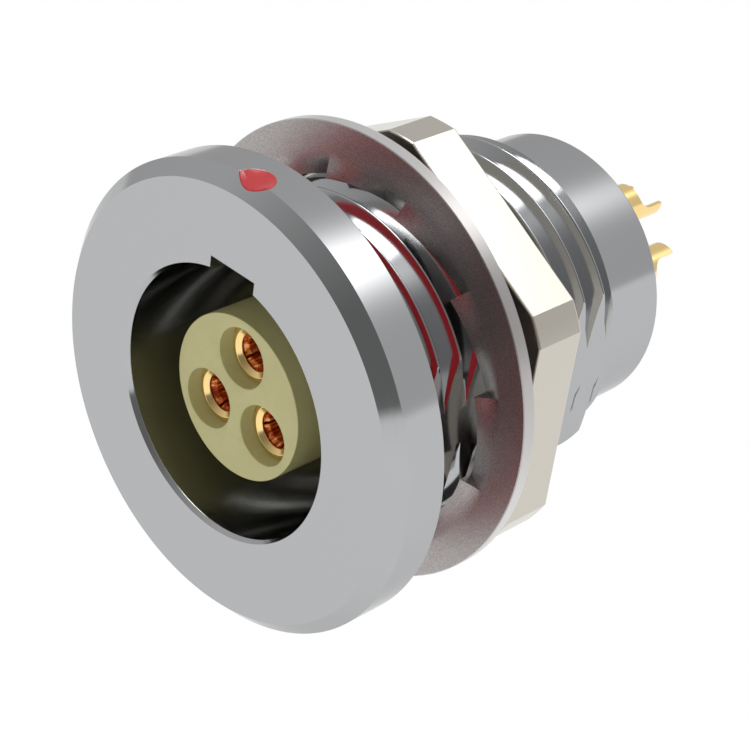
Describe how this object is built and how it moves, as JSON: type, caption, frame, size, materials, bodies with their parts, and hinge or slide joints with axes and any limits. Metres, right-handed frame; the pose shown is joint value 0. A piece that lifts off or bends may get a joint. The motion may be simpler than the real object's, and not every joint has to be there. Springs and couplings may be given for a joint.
{
  "type": "push pull circular connector",
  "caption": "Round panel socket with a keyed push-pull bore, female contacts with solder cups, flanged threaded barrel with flats, toothed lock washer and hexagon nut.",
  "frame": {"origin": "centre of the flange's back face, where the connector's axis meets the panel", "axes": "+Y along the connector's axis to the rear, +Z towards the keyway and the red dot, +X to the right"},
  "size_m": [0.016, 0.0212, 0.016],
  "materials": {
    "satin_chrome": "satin chrome on turned brass",
    "red_paint": "gloss paint fill",
    "red_rubber": "matt moulded",
    "black_rubber": "matt moulded",
    "nickel_brass": "nickel plated",
    "core_plastic": "moulded",
    "washer_bronze": "satin nickel, fine grain",
    "nut_nickel": "satin nickel",
    "gold_plated_brass": "gold plated"
  },
  "bodies": {
    "shell": {"outer_shell": "satin_chrome", "alignment_dot": "red_paint", "flange_seal": "red_rubber", "earthing_crown": "nickel_brass", "front_insulator": "core_plastic", "rear_insulator": "core_plastic", "insert_o_ring": "black_rubber", "retaining_ring": "nickel_brass", "contact_hood_1": "gold_plated_brass", "contact_hood_2": "gold_plated_brass", "contact_hood_3": "gold_plated_brass", "contact_body_1": "gold_plated_brass", "contact_body_2": "gold_plated_brass", "contact_body_3": "gold_plated_brass"},
    "washer": {"lock_washer": "washer_bronze"},
    "nut": {"hex_nut": "nut_nickel"}
  },
  "joints": [
    {"name": "washer_slide", "type": "slide", "parent": "shell", "child": "washer", "axis": [0, 1, 0], "range_m": [-0.00235, 0.004]},
    {"name": "nut_turn", "type": "hinge", "parent": "washer", "child": "nut", "pos_m": [0, 0, 0], "axis": [0, 1, 0], "range_deg": [-847, 1441]}
  ],
  "couplings": [
    {"joint": "nut_turn", "follows": "washer_slide", "rad_per_m": 6283.2}
  ]
}
